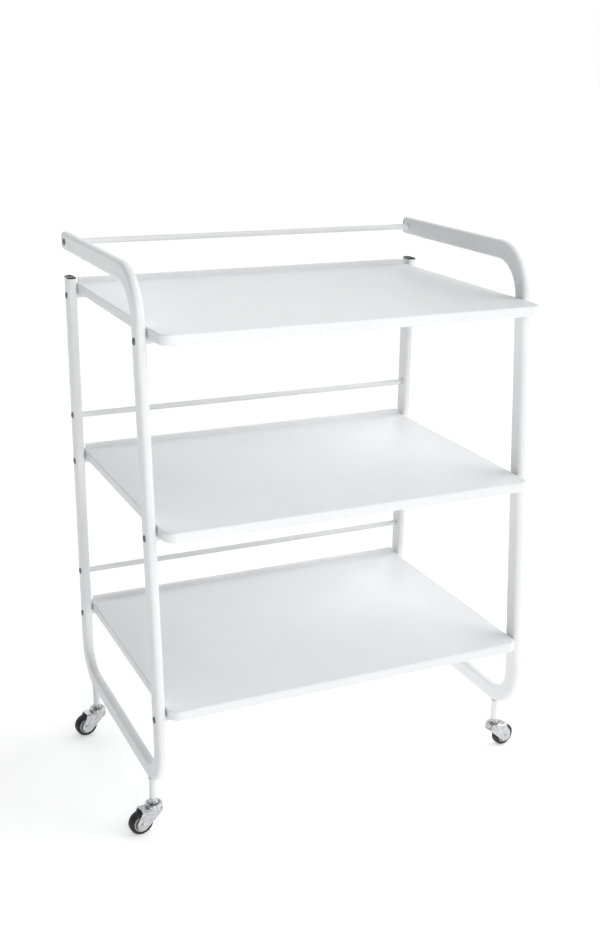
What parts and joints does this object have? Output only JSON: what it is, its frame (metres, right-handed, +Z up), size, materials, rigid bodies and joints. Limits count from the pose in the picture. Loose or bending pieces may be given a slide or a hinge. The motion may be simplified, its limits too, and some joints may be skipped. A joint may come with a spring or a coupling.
{
  "type": "instrument cart",
  "caption": "White steel instrument cart: open flat shelves between two bent-tube side frames with handle arms, cross rods at the rear, on small swivel casters.",
  "frame": {"origin": "on the floor, midway between the side frames and midway between the shelf fronts and the rear ends of the arms", "axes": "+X to the cart's right, +Y to its rear (the raised lips and rear rods), +Z up"},
  "size_m": [0.7336, 0.472, 0.912],
  "materials": {
    "coated_steel": "satin white powder coat",
    "white_plastic": "satin",
    "black_plastic": "satin",
    "dark_screw": "dark oxide",
    "zinc": "bright zinc plate",
    "hub_grey": "satin",
    "tyre_rubber": "matt"
  },
  "bodies": {
    "cart_frame": {"left_side_frame": "coated_steel", "right_side_frame": "coated_steel", "left_leg_plug": "black_plastic", "right_leg_plug": "black_plastic", "left_arm_cap": "white_plastic", "right_arm_cap": "white_plastic", "top_shelf": "coated_steel", "middle_shelf": "coated_steel", "bottom_shelf": "coated_steel", "top_rail_rod": "coated_steel", "middle_rail_rod": "coated_steel", "lower_rail_rod": "coated_steel", "top_shelf_front_rod": "coated_steel", "top_shelf_rear_rod": "coated_steel", "middle_shelf_front_rod": "coated_steel", "middle_shelf_rear_rod": "coated_steel", "bottom_shelf_front_rod": "coated_steel", "bottom_shelf_rear_rod": "coated_steel", "left_top_rail_screw": "dark_screw", "left_middle_rail_screw": "dark_screw", "left_lower_rail_screw": "dark_screw", "left_top_shelf_front_screw": "dark_screw", "left_top_shelf_rear_screw": "dark_screw", "left_middle_shelf_front_screw": "dark_screw", "left_middle_shelf_rear_screw": "dark_screw", "left_bottom_shelf_front_screw": "dark_screw", "left_bottom_shelf_rear_screw": "dark_screw", "right_top_rail_screw": "dark_screw", "right_middle_rail_screw": "dark_screw", "right_lower_rail_screw": "dark_screw", "right_top_shelf_front_screw": "dark_screw", "right_top_shelf_rear_screw": "dark_screw", "right_middle_shelf_front_screw": "dark_screw", "right_middle_shelf_rear_screw": "dark_screw", "right_bottom_shelf_front_screw": "dark_screw", "right_bottom_shelf_rear_screw": "dark_screw", "front_left_socket_tube": "coated_steel", "front_right_socket_tube": "coated_steel", "rear_left_socket_tube": "coated_steel", "rear_right_socket_tube": "coated_steel", "front_left_swivel_head": "zinc", "front_right_swivel_head": "zinc", "rear_left_swivel_head": "zinc", "rear_right_swivel_head": "zinc"},
    "front_left_swivel": {"front_left_fork": "zinc", "front_left_axle": "zinc"},
    "front_left_wheel": {"front_left_wheel_hub": "hub_grey", "front_left_tyre": "tyre_rubber"},
    "front_right_swivel": {"front_right_fork": "zinc", "front_right_axle": "zinc"},
    "front_right_wheel": {"front_right_wheel_hub": "hub_grey", "front_right_tyre": "tyre_rubber"},
    "rear_left_swivel": {"rear_left_fork": "zinc", "rear_left_axle": "zinc"},
    "rear_left_wheel": {"rear_left_wheel_hub": "hub_grey", "rear_left_tyre": "tyre_rubber"},
    "rear_right_swivel": {"rear_right_fork": "zinc", "rear_right_axle": "zinc"},
    "rear_right_wheel": {"rear_right_wheel_hub": "hub_grey", "rear_right_tyre": "tyre_rubber"}
  },
  "joints": [
    {"name": "front_left_swivel_turn", "type": "hinge", "parent": "cart_frame", "child": "front_left_swivel", "pos_m": [-0.3235, -0.164, 0.05], "axis": [0, 0, 1], "continuous": true},
    {"name": "front_left_wheel_spin", "type": "hinge", "parent": "front_left_swivel", "child": "front_left_wheel", "pos_m": [-0.34633, -0.1668, 0.02], "axis": [0.1219, -0.9925, 0], "continuous": true},
    {"name": "front_right_swivel_turn", "type": "hinge", "parent": "cart_frame", "child": "front_right_swivel", "pos_m": [0.3235, -0.164, 0.05], "axis": [0, 0, 1], "continuous": true},
    {"name": "front_right_wheel_spin", "type": "hinge", "parent": "front_right_swivel", "child": "front_right_wheel", "pos_m": [0.34628, -0.1608, 0.02], "axis": [-0.1392, 0.9903, 0], "continuous": true},
    {"name": "rear_left_swivel_turn", "type": "hinge", "parent": "cart_frame", "child": "rear_left_swivel", "pos_m": [-0.3235, 0.174, 0.05], "axis": [0, 0, 1], "continuous": true},
    {"name": "rear_left_wheel_spin", "type": "hinge", "parent": "rear_left_swivel", "child": "rear_left_wheel", "pos_m": [-0.34633, 0.1712, 0.02], "axis": [0.1219, -0.9925, 0], "continuous": true},
    {"name": "rear_right_swivel_turn", "type": "hinge", "parent": "cart_frame", "child": "rear_right_swivel", "pos_m": [0.3235, 0.174, 0.05], "axis": [0, 0, 1], "continuous": true},
    {"name": "rear_right_wheel_spin", "type": "hinge", "parent": "rear_right_swivel", "child": "rear_right_wheel", "pos_m": [0.34633, 0.1712, 0.02], "axis": [0.1219, 0.9925, 0], "continuous": true}
  ]
}
